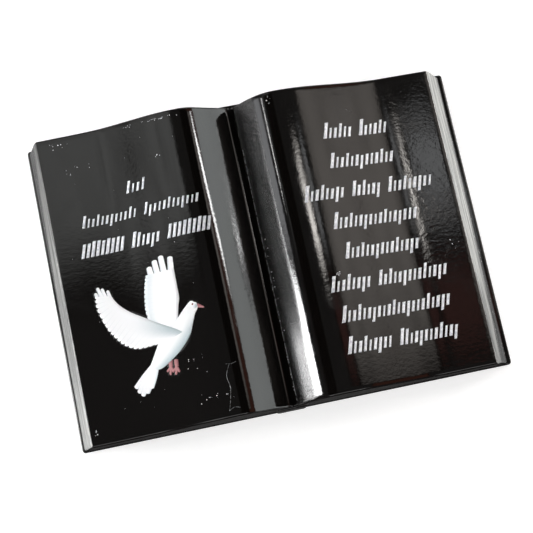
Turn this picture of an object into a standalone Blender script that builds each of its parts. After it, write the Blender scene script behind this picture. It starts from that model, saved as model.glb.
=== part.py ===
"""Open book headstone: a small memorial cast in one piece from resin.

The book lies open and face up. X runs across the two pages towards the reader's right,
Y towards the head of the pages and Z out of them. The origin is on the ground, under the
middle of the book. All sizes are in metres.
"""

import math

import bmesh
import bpy

# Driving sizes of the cover board that everything lies on
BOOK_WIDTH = 0.180
BOOK_LENGTH = 0.128
COVER_THICKNESS = 0.0025
COVER_CORNER_RADIUS = 0.0012
COVER_EDGE_ROUNDING = 0.0006

# The block of pages stands inside the cover by these margins
HEAD_MARGIN = 0.0008
TAIL_MARGIN = 0.0003
LEFT_MARGIN = 0.0008
RIGHT_MARGIN = 0.0018
PAGE_CORNER_RADIUS = 0.0013
RIM_ROUNDING = 0.0009

# The top of each fore-edge leans in over its foot by this much
LEFT_LEAN = 0.0036
RIGHT_LEAN = 0.0067

# The valley between the pages, and the narrow groove down its middle
GUTTER_OFFSET = 0.0037
VALLEY_FLOOR_WIDTH = 0.004
VALLEY_HEIGHT = 0.0150
GROOVE_WIDTH = 0.0022
GROOVE_DEPTH = 0.0012

# Heights of the page surface above the ground
LEFT_CREST_HEIGHT = 0.0274
LEFT_SHELF_HEIGHT = 0.0179
LEFT_EDGE_HEIGHT = 0.0172
RIGHT_CREST_HEIGHT = 0.0273
RIGHT_SHELF_HEIGHT = 0.0162
RIGHT_EDGE_HEIGHT = 0.0152

# Where the swell of each page crests and flattens, as shares of the page from the gutter
LEFT_CREST_SHARE = 0.27
RIGHT_CREST_SHARE = 0.205
SHELF_SHARE = 0.79

# How much of each rise out of the valley is the rounding of its crest; the rest is straight
LEFT_ROUND_SHARE = 0.35
RIGHT_ROUND_SHARE = 1.0

# The spine shows as a low cap between the pages at head and tail
SPINE_WIDTH = 0.014
SPINE_HEIGHT = 0.0136
SPINE_OVERHANG = 0.0004
SPINE_CORNER_RADIUS = 0.002

# Grooves round the block that stand for its leaves
LEAF_LINE_COUNT = 5
LEAF_LINE_WIDTH = 0.0005
LEAF_LINE_DEPTH = 0.0004

# The inscription's rows of raised slanted marks
MARK_RELIEF = 0.0004
SMALL_MARK_HEIGHT = 0.0050
MIDDLE_MARK_HEIGHT = 0.0060
TALL_MARK_HEIGHT = 0.0066
MARK_LEAN_SHARE = 0.30
WORD_GAP_SHARE = 0.8
LEFT_ROW_CENTRE_SHARE = 0.546
RIGHT_ROW_CENTRE_SHARE = 0.569
RIGHT_ROW_PITCH_SHARE = 0.0996
RIGHT_FIRST_ROW_SHARE = 0.185

# The marks come round in this order: height as a share of the row's, width as a share of height
MARK_SHAPES = ((1.0, 0.24), (0.68, 0.34), (0.68, 0.16), (0.68, 0.34), (0.86, 0.26), (0.68, 0.16))

# How finely curves are drawn; the page's steps crowd towards the gutter
SECTION_STEPS = 22
SECTION_CROWDING = 1.5
ARC_STEPS = 5
RIM_STEPS = 2

# Points nearer than this are one point
WELD_DISTANCE = 1e-7

# Faces that meet at less than this are one flat face, and edges sharper than this are rounded
FLAT_ANGLE = 1e-4
ROUNDED_EDGE_ANGLE = math.radians(40)
ROUNDED_EDGE_STEPS = 2

# What a guide reaches past the piece that it trims
OVERSHOOT = 0.004

# Looks
LACQUER_BLACK = (0.012, 0.011, 0.011, 1.0)
LACQUER_ROUGHNESS = 0.12


class Page:
    """One page: where it starts at the gutter, where it ends and how its surface swells."""

    def __init__(self, side, margin, lean, crest_share, round_share, crest_height, shelf_height,
                 edge_height):
        self.side = side
        self.foot_x = side * (BOOK_WIDTH / 2 - margin)
        self.lean = lean
        self.width = abs(self.foot_x - side * lean + GUTTER_OFFSET)
        self.crest_run = crest_share * self.width
        self.shelf_run = SHELF_SHARE * self.width
        self.round_share = round_share
        self.crest_height = crest_height
        self.shelf_height = shelf_height
        self.edge_height = edge_height

    def x_at(self, run):
        """World x of a point this far from the gutter."""
        return self.side * run - GUTTER_OFFSET

    def rise_at(self, share):
        """Share of the rise reached at this share of the way from the valley to the crest.

        It climbs straight and then rounds over, level at the crest.
        """
        straight = 1 - self.round_share
        slope = 1 / (1 - self.round_share / 2)
        if share <= straight:
            return slope * share
        turned = (share - straight) / self.round_share
        return slope * (straight + self.round_share * (turned - turned ** 2 / 2))

    def height_at(self, run):
        """Height of the page surface this far from the gutter."""
        floor_run = VALLEY_FLOOR_WIDTH / 2
        groove_run = GROOVE_WIDTH / 2
        if run <= groove_run:
            return VALLEY_HEIGHT - GROOVE_DEPTH * (1 - run / groove_run)
        if run <= floor_run:
            return VALLEY_HEIGHT
        if run <= self.crest_run:
            rise = self.rise_at((run - floor_run) / (self.crest_run - floor_run))
            return VALLEY_HEIGHT + (self.crest_height - VALLEY_HEIGHT) * rise
        if run <= self.shelf_run:
            turn = (run - self.crest_run) / (self.shelf_run - self.crest_run) * math.pi
            drop = self.crest_height - self.shelf_height
            return self.crest_height - drop * (1 - math.cos(turn)) / 2
        along = min((run - self.shelf_run) / (self.width - self.shelf_run), 1.0)
        return self.shelf_height + (self.edge_height - self.shelf_height) * along

    def spread_at(self, run):
        """Share of the fore-edge's lean that this part of the page takes: none inside the shelf."""
        return max(0.0, (run - self.shelf_run) / (self.width - self.shelf_run))

    def surface_runs(self):
        """Distances from the gutter at which the surface is drawn, past its middle groove."""
        first = GROOVE_WIDTH / 2
        last = self.width - PAGE_CORNER_RADIUS
        steps = range(SECTION_STEPS + 1)
        return [first + (last - first) * (step / SECTION_STEPS) ** SECTION_CROWDING for step in steps]


LEFT_PAGE = Page(-1, LEFT_MARGIN, LEFT_LEAN, LEFT_CREST_SHARE, LEFT_ROUND_SHARE,
                 LEFT_CREST_HEIGHT, LEFT_SHELF_HEIGHT, LEFT_EDGE_HEIGHT)
RIGHT_PAGE = Page(1, RIGHT_MARGIN, RIGHT_LEAN, RIGHT_CREST_SHARE, RIGHT_ROUND_SHARE,
                  RIGHT_CREST_HEIGHT, RIGHT_SHELF_HEIGHT, RIGHT_EDGE_HEIGHT)
PAGE_HEAD_Y = BOOK_LENGTH / 2 - HEAD_MARGIN
PAGE_TAIL_Y = -BOOK_LENGTH / 2 + TAIL_MARGIN
PAGE_LENGTH = PAGE_HEAD_Y - PAGE_TAIL_Y
HIGHEST_CREST = max(LEFT_CREST_HEIGHT, RIGHT_CREST_HEIGHT)

# The left rows: baseline as a share of the page down from its head, row length as a share of
# the page's width, mark height and the number of marks in each word
LEFT_ROWS = (
    (0.233, 0.10, SMALL_MARK_HEIGHT, (3,)),
    (0.313, 0.59, SMALL_MARK_HEIGHT, (8, 8)),
    (0.409, 0.65, MIDDLE_MARK_HEIGHT, (6, 3, 6)),
)

# The right rows are evenly spaced: row length as a share of the page's width, and the words
RIGHT_ROWS = (
    (0.33, (4, 4)),
    (0.33, (9,)),
    (0.65, (5, 4, 6)),
    (0.43, (12,)),
    (0.38, (10,)),
    (0.59, (5, 9)),
    (0.55, (15,)),
    (0.56, (6, 8)),
)


def clear_scene():
    """Remove every object that the file starts with."""
    for old in list(bpy.data.objects):
        bpy.data.objects.remove(old, do_unlink=True)


def new_collection(name):
    """A collection of the scene."""
    collection = bpy.data.collections.new(name)
    bpy.context.scene.collection.children.link(collection)
    return collection


def lacquer_material():
    """Glossy black lacquer over cast resin."""
    material = bpy.data.materials.new("black lacquered resin")
    material.use_nodes = True
    shader = material.node_tree.nodes["Principled BSDF"]
    shader.inputs["Base Color"].default_value = LACQUER_BLACK
    shader.inputs["Roughness"].default_value = LACQUER_ROUGHNESS
    shader.inputs["Metallic"].default_value = 0.0
    return material


def mesh_object(name, mesh, collection, is_tool=True):
    """Put a mesh in a collection; a tool only cuts or joins and isn't part of the model."""
    piece = bpy.data.objects.new(name, mesh)
    collection.objects.link(piece)
    if is_tool:
        piece.hide_render = True
        piece.display_type = "WIRE"
    return piece


def extruded_outlines(name, outlines, half_depth, collection, stands=False):
    """Extrude flat outlines both ways and make them a mesh.

    An outline that stands has its points in X and Z and is extruded along Y; any other has
    them in X and Y and is extruded along Z.
    """
    curve = bpy.data.curves.new(name + " outline", "CURVE")
    curve.dimensions = "2D"
    curve.fill_mode = "BOTH"
    curve.extrude = half_depth
    for outline in outlines:
        spline = curve.splines.new("POLY")
        spline.points.add(len(outline) - 1)
        for point, (across, up) in zip(spline.points, outline):
            point.co = (across, up, 0.0, 1.0)
        spline.use_cyclic_u = True
    drawn = bpy.data.objects.new(name + " outline", curve)
    bpy.context.scene.collection.objects.link(drawn)
    if stands:
        drawn.rotation_euler.x = math.pi / 2
    bpy.context.view_layer.update()
    graph = bpy.context.evaluated_depsgraph_get()
    mesh = bpy.data.meshes.new_from_object(drawn.evaluated_get(graph))
    shape = bmesh.new()
    shape.from_mesh(mesh)
    bmesh.ops.remove_doubles(shape, verts=shape.verts, dist=WELD_DISTANCE)
    bmesh.ops.dissolve_limit(shape, angle_limit=FLAT_ANGLE, verts=shape.verts, edges=shape.edges)
    bmesh.ops.transform(shape, matrix=drawn.matrix_world, verts=shape.verts)
    bmesh.ops.recalc_face_normals(shape, faces=shape.faces)
    shape.to_mesh(mesh)
    shape.free()
    bpy.data.objects.remove(drawn, do_unlink=True)
    return mesh_object(name, mesh, collection)


def rounded_rectangle(x_low, x_high, y_low, y_high, radius):
    """Corners of a rectangle with rounded corners, anticlockwise."""
    points = []
    corners = ((x_high, y_low, -90), (x_high, y_high, 0), (x_low, y_high, 90), (x_low, y_low, 180))
    for x, y, start in corners:
        centre_x = x - math.copysign(radius, x - (x_low + x_high) / 2)
        centre_y = y - math.copysign(radius, y - (y_low + y_high) / 2)
        for step in range(ARC_STEPS + 1):
            angle = math.radians(start + 90 * step / ARC_STEPS)
            points.append((centre_x + radius * math.cos(angle), centre_y + radius * math.sin(angle)))
    return points


def rim_line():
    """Stations along the head edge of the page block, from its left corner to its right one.

    Each is the page that it lies on, its distance from the gutter and the inward direction
    there, as a share across the page and a share towards the tail.
    """
    halves = []
    for page in (LEFT_PAGE, RIGHT_PAGE):
        half = [(page, run, 0.0, 1.0) for run in page.surface_runs()]
        for step in range(1, ARC_STEPS + 1):
            turn = math.pi / 2 * step / ARC_STEPS
            run = page.width - PAGE_CORNER_RADIUS * (1 - math.sin(turn))
            half.append((page, run, math.sin(turn), math.cos(turn)))
        halves.append(half)
    middle = [(RIGHT_PAGE, 0.0, 0.0, 1.0)]
    return halves[0][::-1] + middle + halves[1]


def block_levels():
    """Levels of the page block from its foot to its top.

    Each is a share of the way up to the page surface, an offset in height and an inset. Every
    leaf line is a shallow V that runs all round, and the rim is a quarter round.
    """
    levels = [(0.0, -COVER_THICKNESS / 2, 0.0)]
    for leaf in range(1, LEAF_LINE_COUNT + 1):
        share = leaf / (LEAF_LINE_COUNT + 1)
        levels.append((share, -LEAF_LINE_WIDTH / 2, 0.0))
        levels.append((share, 0.0, LEAF_LINE_DEPTH))
        levels.append((share, LEAF_LINE_WIDTH / 2, 0.0))
    for step in range(RIM_STEPS + 1):
        turn = math.pi / 2 * step / RIM_STEPS
        levels.append((1.0, RIM_ROUNDING * (math.sin(turn) - 1), RIM_ROUNDING * (1 - math.cos(turn))))
    return levels


def page_block(collection):
    """The block of pages: a loft through its levels, closed by the page surface above."""
    shape = bmesh.new()
    loops = []
    for share, rise, inset in block_levels():
        head, tail = [], []
        for page, run, across, along in rim_line():
            lean = page.lean * page.spread_at(run) * (1 - share)
            x = page.x_at(run + lean - inset * across)
            z = COVER_THICKNESS + share * (page.height_at(run) - COVER_THICKNESS) + rise
            corner = PAGE_CORNER_RADIUS * (1 - along)
            head.append(shape.verts.new((x, PAGE_HEAD_Y - corner - inset * along, z)))
            tail.append(shape.verts.new((x, PAGE_TAIL_Y + corner + inset * along, z)))
        loops.append((head, tail))
    for (low_head, low_tail), (high_head, high_tail) in zip(loops, loops[1:]):
        low, high = low_head + low_tail[::-1], high_head + high_tail[::-1]
        for here in range(len(low)):
            after = (here + 1) % len(low)
            shape.faces.new((low[here], low[after], high[after], high[here]))
    for head, tail in (loops[0], loops[-1]):
        for here in range(len(head) - 1):
            shape.faces.new((head[here], head[here + 1], tail[here + 1], tail[here]))
    bmesh.ops.recalc_face_normals(shape, faces=shape.faces)
    mesh = bpy.data.meshes.new("open_book")
    shape.to_mesh(mesh)
    shape.free()
    return mesh_object("open_book", mesh, collection, is_tool=False)


def raised_slab(collection):
    """Everything under the page surface raised by the marks' relief, to trim the marks with."""
    line = []
    for page, run, _, _ in rim_line():
        line.append((page.x_at(run), page.height_at(run) + MARK_RELIEF))
    outline = [(line[0][0], 0.0)] + line + [(line[-1][0], 0.0)]
    return extruded_outlines("raised pages", [outline], BOOK_LENGTH / 2 + OVERSHOOT, collection,
                             stands=True)


def cover_board(collection):
    """The flat cover that shows as a thin line all round the pages."""
    outline = rounded_rectangle(-BOOK_WIDTH / 2, BOOK_WIDTH / 2, -BOOK_LENGTH / 2, BOOK_LENGTH / 2,
                                COVER_CORNER_RADIUS)
    board = extruded_outlines("cover board", [outline], COVER_THICKNESS / 2, collection)
    board.location.z = COVER_THICKNESS / 2
    add_bevel(board, COVER_EDGE_ROUNDING)
    return board


def spine_cap(collection):
    """The spine, which stands a little proud of the cover at head and tail."""
    half_length = BOOK_LENGTH / 2 + SPINE_OVERHANG
    outline = rounded_rectangle(-GUTTER_OFFSET - SPINE_WIDTH / 2, -GUTTER_OFFSET + SPINE_WIDTH / 2,
                                -half_length, half_length, SPINE_CORNER_RADIUS)
    spine = extruded_outlines("spine", [outline], SPINE_HEIGHT / 2, collection)
    spine.location.z = SPINE_HEIGHT / 2
    add_bevel(spine, COVER_EDGE_ROUNDING)
    return spine


def row_marks(page, centre_share, baseline_share, length_share, mark_height, words):
    """Outlines of one row's slanted marks, seen from above."""
    centre = page.x_at(centre_share * page.width)
    length = length_share * page.width
    baseline = PAGE_HEAD_Y - baseline_share * PAGE_LENGTH
    places = sum(words) + WORD_GAP_SHARE * (len(words) - 1)
    pitch = length / places
    marks = []
    x = centre - length / 2
    drawn = 0
    for word in words:
        for _ in range(word):
            height_share, width_share = MARK_SHAPES[drawn % len(MARK_SHAPES)]
            height = mark_height * height_share
            width = height * width_share
            foot = x + (pitch - width - MARK_LEAN_SHARE * height) / 2
            top = foot + MARK_LEAN_SHARE * height
            marks.append([(foot, baseline), (foot + width, baseline),
                          (top + width, baseline + height), (top, baseline + height)])
            x += pitch
            drawn += 1
        x += WORD_GAP_SHARE * pitch
    return marks


def inscription(collection):
    """All the raised marks, with tops that follow the swell of the pages."""
    marks = []
    for baseline_share, length_share, mark_height, words in LEFT_ROWS:
        marks += row_marks(LEFT_PAGE, LEFT_ROW_CENTRE_SHARE, baseline_share, length_share,
                           mark_height, words)
    for index, (length_share, words) in enumerate(RIGHT_ROWS):
        baseline_share = RIGHT_FIRST_ROW_SHARE + RIGHT_ROW_PITCH_SHARE * index
        marks += row_marks(RIGHT_PAGE, RIGHT_ROW_CENTRE_SHARE, baseline_share, length_share,
                           TALL_MARK_HEIGHT, words)
    posts = extruded_outlines("inscription", marks, HIGHEST_CREST / 2, collection)
    posts.location.z = HIGHEST_CREST / 2 + COVER_THICKNESS + OVERSHOOT
    combine(posts, raised_slab(collection), "INTERSECT")
    return posts


def combine(piece, tool, operation):
    """Add a Boolean with another piece."""
    boolean = piece.modifiers.new(operation.lower() + " " + tool.name, "BOOLEAN")
    boolean.operation = operation
    boolean.object = tool
    return boolean


def add_bevel(piece, width):
    """Round the sharp edges of a piece."""
    bevel = piece.modifiers.new("rounded edges", "BEVEL")
    bevel.width = width
    bevel.segments = ROUNDED_EDGE_STEPS
    bevel.limit_method = "ANGLE"
    bevel.angle_limit = ROUNDED_EDGE_ANGLE
    return bevel


def build():
    """Model the whole book as one casting."""
    clear_scene()
    model = new_collection("open book headstone")
    tools = new_collection("cutters and guides")

    pages = page_block(model)
    pages.data.materials.append(lacquer_material())
    combine(pages, cover_board(tools), "UNION")
    combine(pages, spine_cap(tools), "UNION")
    combine(pages, inscription(tools), "UNION")


build()
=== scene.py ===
"""Open book headstone: fine surface, finishes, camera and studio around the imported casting.

The book lies open and face up, in metres, with X across the two pages, Y towards the head of
the pages and Z out of them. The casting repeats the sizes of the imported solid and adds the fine
leaf lines, the gentle waves of the lacquer and the rows of silver strokes.
"""

import logging
import math
import random
from dataclasses import dataclass, field
from enum import Enum
from typing import Any, NamedTuple, Optional, Sequence

import bmesh
import bpy
from mathutils import Matrix, Vector, noise


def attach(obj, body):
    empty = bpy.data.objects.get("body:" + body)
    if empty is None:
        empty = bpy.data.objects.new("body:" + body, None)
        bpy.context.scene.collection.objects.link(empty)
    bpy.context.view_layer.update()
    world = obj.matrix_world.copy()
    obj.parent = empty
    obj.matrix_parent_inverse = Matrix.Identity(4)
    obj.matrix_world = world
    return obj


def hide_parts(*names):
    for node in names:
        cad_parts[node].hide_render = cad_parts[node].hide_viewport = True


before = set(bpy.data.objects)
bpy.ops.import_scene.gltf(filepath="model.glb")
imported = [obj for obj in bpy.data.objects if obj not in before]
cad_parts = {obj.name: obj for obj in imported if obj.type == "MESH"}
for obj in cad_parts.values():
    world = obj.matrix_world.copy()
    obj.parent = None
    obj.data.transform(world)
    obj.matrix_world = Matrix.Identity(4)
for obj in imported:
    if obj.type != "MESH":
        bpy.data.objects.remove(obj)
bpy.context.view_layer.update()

MM = 0.001
BODY = "root"
NODE = "open_book"

Point = tuple[float, float]
Node, Socket, Tree = bpy.types.Node, bpy.types.NodeSocket, bpy.types.NodeTree
Material, Object, Solid, Vert = bpy.types.Material, bpy.types.Object, bmesh.types.BMesh, bmesh.types.BMVert

log = logging.getLogger("open_book_headstone")


def linear(hex_colour: str) -> tuple[float, float, float, float]:
    """Turn an sRGB hex colour into linear values.

    Args:
        hex_colour: Six hex digits after a hash.

    Returns:
        Red, green, blue and alpha for a shader socket.
    """
    channels = []
    for start in (1, 3, 5):
        value = int(hex_colour[start:start + 2], 16) / 255
        channels.append(value / 12.92 if value <= 0.04045 else ((value + 0.055) / 1.055) ** 2.4)
    return (channels[0], channels[1], channels[2], 1.0)


def set_inputs(node: Node, inputs: dict[Any, Any]) -> None:
    """Give a node's inputs their values and links.

    Args:
        node: The node.
        inputs: What each input gets, by its name or number: a value, a socket to link from, or a
            node whose first output is linked.
    """
    for key, value in inputs.items():
        source = value.outputs[0] if isinstance(value, Node) else value
        if isinstance(source, Socket):
            node.id_data.links.new(source, node.inputs[key])
        else:
            node.inputs[key].default_value = source


def add_node(tree: Tree, kind: str, inputs: Optional[dict[Any, Any]] = None, **settings: Any) -> Node:
    """Add one node with its settings, values and links.

    Args:
        tree: The node tree that it goes in.
        kind: The node's type name.
        inputs: What its inputs get, as in set_inputs.
        settings: The node's own properties.

    Returns:
        The new node.
    """
    node = tree.nodes.new(kind)
    for name, value in settings.items():
        setattr(node, name, value)
    set_inputs(node, inputs or {})
    return node


def new_material(name: str) -> tuple[Material, Tree, Node]:
    """A material with a bare Principled shader.

    Args:
        name: The real material's name.

    Returns:
        The material, its node tree and its shader.
    """
    material = bpy.data.materials.new(name)
    material.use_nodes = True
    tree = material.node_tree
    return material, tree, tree.nodes["Principled BSDF"]


class Span(NamedTuple):
    """A soft-edged stretch along one axis: it rises from low to full_low, and falls again."""

    low: float
    full_low: float
    full_high: float
    high: float


def span_mask(tree: Tree, value: Socket, span: Span, strength: float = 1.0) -> Socket:
    """Mask that is strong inside a span and nothing outside it.

    Args:
        tree: The node tree.
        value: The coordinate that the span is measured along.
        span: Where the mask rises and falls.
        strength: What the mask reaches inside.

    Returns:
        The mask's socket.
    """
    rising = {1: span.low, 2: span.full_low, 3: 0.0, 4: strength}
    falling = {1: span.full_high, 2: span.high, 3: 1.0, 4: 0.0}
    rise, fall = (add_node(tree, "ShaderNodeMapRange", {0: value, **ends}, interpolation_type="SMOOTHSTEP")
                  for ends in (rising, falling))
    return add_node(tree, "ShaderNodeMath", {0: rise, 1: fall}, operation="MULTIPLY").outputs[0]


def link_mesh(name: str, shape: Solid, materials: Sequence[Material],
              smooth_angle: Optional[float] = None) -> Object:
    """Make an object of a finished bmesh and free the bmesh.

    Args:
        name: The object's name.
        shape: Its geometry.
        materials: Its material slots, in order.
        smooth_angle: Edges sharper than this stay sharp; flat shading if it is None.

    Returns:
        The new object.
    """
    mesh = bpy.data.meshes.new(name)
    shape.to_mesh(mesh)
    shape.free()
    for material in materials:
        mesh.materials.append(material)
    if smooth_angle is not None:
        mesh.shade_smooth()
        mesh.set_sharp_from_angle(angle=smooth_angle)
    piece = bpy.data.objects.new(name, mesh)
    bpy.context.scene.collection.objects.link(piece)
    return piece


def bridge(shape: Solid, low: Sequence[Vert], high: Sequence[Vert]) -> None:
    """Join two rings with the same count of vertices by faces all round."""
    for here in range(len(low)):
        after = (here + 1) % len(low)
        shape.faces.new((low[here], low[after], high[after], high[here]))


def apply_modifiers(piece: Object) -> None:
    """Replace a piece's mesh by what its modifiers make of it.

    Args:
        piece: A mesh object with modifiers.
    """
    bpy.context.view_layer.update()
    graph = bpy.context.evaluated_depsgraph_get()
    made = bpy.data.meshes.new_from_object(piece.evaluated_get(graph))
    piece.modifiers.clear()
    piece.data = made


class Side(Enum):
    """Which of the two pages, as the sign of its direction from the gutter."""

    LEFT = -1
    RIGHT = 1


@dataclass(frozen=True)
class BookSizes:
    """Overall sizes of the casting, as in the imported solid."""

    width: float = 180 * MM
    length: float = 128 * MM
    cover_thickness: float = 2.5 * MM
    cover_corner_radius: float = 1.2 * MM
    cover_edge_rounding: float = 0.6 * MM
    head_margin: float = 0.8 * MM
    tail_margin: float = 0.3 * MM
    page_corner_radius: float = 1.3 * MM
    rim_rounding: float = 0.9 * MM
    gutter_offset: float = 3.7 * MM
    valley_floor_width: float = 4 * MM
    valley_height: float = 15 * MM
    groove_width: float = 2.2 * MM
    groove_depth: float = 1.2 * MM
    shelf_share: float = 0.79
    spine_width: float = 14 * MM
    spine_height: float = 13.6 * MM
    spine_overhang: float = 0.4 * MM
    spine_corner_radius: float = 2 * MM

    @property
    def head_y(self) -> float:
        """Where the pages end towards the head."""
        return self.length / 2 - self.head_margin

    @property
    def tail_y(self) -> float:
        """Where the pages end towards the tail."""
        return self.tail_margin - self.length / 2


@dataclass(frozen=True)
class Page:
    """One page: where it ends and how its surface swells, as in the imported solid."""

    sizes: BookSizes
    side: Side
    margin: float
    lean: float
    crest_share: float
    round_share: float
    crest_height: float
    shelf_height: float
    edge_height: float

    @property
    def width(self) -> float:
        """Length of the page's top from the gutter to its fore-edge."""
        edge = self.sizes.width / 2 - self.margin - self.lean
        return edge + self.side.value * self.sizes.gutter_offset

    def x_at(self, run: float) -> float:
        """World x of a point this far from the gutter."""
        return self.side.value * run - self.sizes.gutter_offset

    def run_at(self, x: float) -> float:
        """Distance from the gutter of a world x on this page."""
        return self.side.value * (x + self.sizes.gutter_offset)

    def spread_at(self, run: float) -> float:
        """Share of the fore-edge's lean that this part of the page takes."""
        shelf = self.sizes.shelf_share * self.width
        return max(0.0, (run - shelf) / (self.width - shelf))

    def rise_at(self, share: float) -> float:
        """Share of the rise reached at this share of the way from the valley to the crest."""
        straight = 1 - self.round_share
        slope = 1 / (1 - self.round_share / 2)
        if share <= straight:
            return slope * share
        turned = (share - straight) / self.round_share
        return slope * (straight + self.round_share * (turned - turned ** 2 / 2))

    def height_at(self, run: float) -> float:
        """Height of the page surface this far from the gutter.

        Args:
            run: Distance from the gutter.

        Returns:
            Height above the ground.
        """
        sizes = self.sizes
        floor, groove = sizes.valley_floor_width / 2, sizes.groove_width / 2
        crest, shelf = self.crest_share * self.width, sizes.shelf_share * self.width
        if run <= groove:
            return sizes.valley_height - sizes.groove_depth * (1 - run / groove)
        if run <= floor:
            return sizes.valley_height
        if run <= crest:
            rise = self.rise_at((run - floor) / (crest - floor))
            return sizes.valley_height + (self.crest_height - sizes.valley_height) * rise
        if run <= shelf:
            turn = (run - crest) / (shelf - crest) * math.pi
            return self.crest_height - (self.crest_height - self.shelf_height) * (1 - math.cos(turn)) / 2
        along = min((run - shelf) / (self.width - shelf), 1.0)
        return self.shelf_height + (self.edge_height - self.shelf_height) * along


SIZES = BookSizes()
LEFT_PAGE = Page(SIZES, Side.LEFT, 0.8 * MM, 3.6 * MM, 0.27, 0.35, 27.4 * MM, 17.9 * MM, 17.2 * MM)
RIGHT_PAGE = Page(SIZES, Side.RIGHT, 1.8 * MM, 6.7 * MM, 0.205, 1.0, 27.3 * MM, 16.2 * MM, 15.2 * MM)


@dataclass(frozen=True)
class Waves:
    """Long, low unevenness of the cast surface under the lacquer."""

    length_across: float = 26 * MM
    length_along: float = 44 * MM
    height: float = 0.055 * MM
    short_share: float = 0.35
    short_ratio: float = 2.7
    short_shift: tuple = (7.1, 3.3, 1.9)
    bellies: tuple = ((-9 * MM, 6.4 * MM, 0.42 * MM), (-65 * MM, 7 * MM, 0.22 * MM))

    def at(self, x: float, y: float) -> float:
        """Height of the unevenness at a point of the pages."""
        place = Vector((x / self.length_across, y / self.length_along, 0.0))
        short = noise.noise(place * self.short_ratio + Vector(self.short_shift))
        rise = self.height * (noise.noise(place) + self.short_share * short)
        for centre, reach, height in self.bellies:
            away = abs(x - centre) / reach
            if away < 1:
                rise += height * (1 + math.cos(math.pi * away)) / 2
        return rise


WAVES = Waves()


def surface_height(x: float, y: float) -> float:
    """Height of the finished page surface at a point.

    Args:
        x: Place across the book.
        y: Place along it.

    Returns:
        Height above the ground, unevenness included.
    """
    page = RIGHT_PAGE if x > -SIZES.gutter_offset else LEFT_PAGE
    return page.height_at(page.run_at(x)) + WAVES.at(x, y)


class Station(NamedTuple):
    """A place along the head edge, with the inward direction there."""

    page: Page
    run: float
    across: float
    along: float


class Level(NamedTuple):
    """One ring round the block: its share of the page height, offset, inset and wander."""

    share: float
    rise: float
    inset: float
    wander: float


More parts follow.
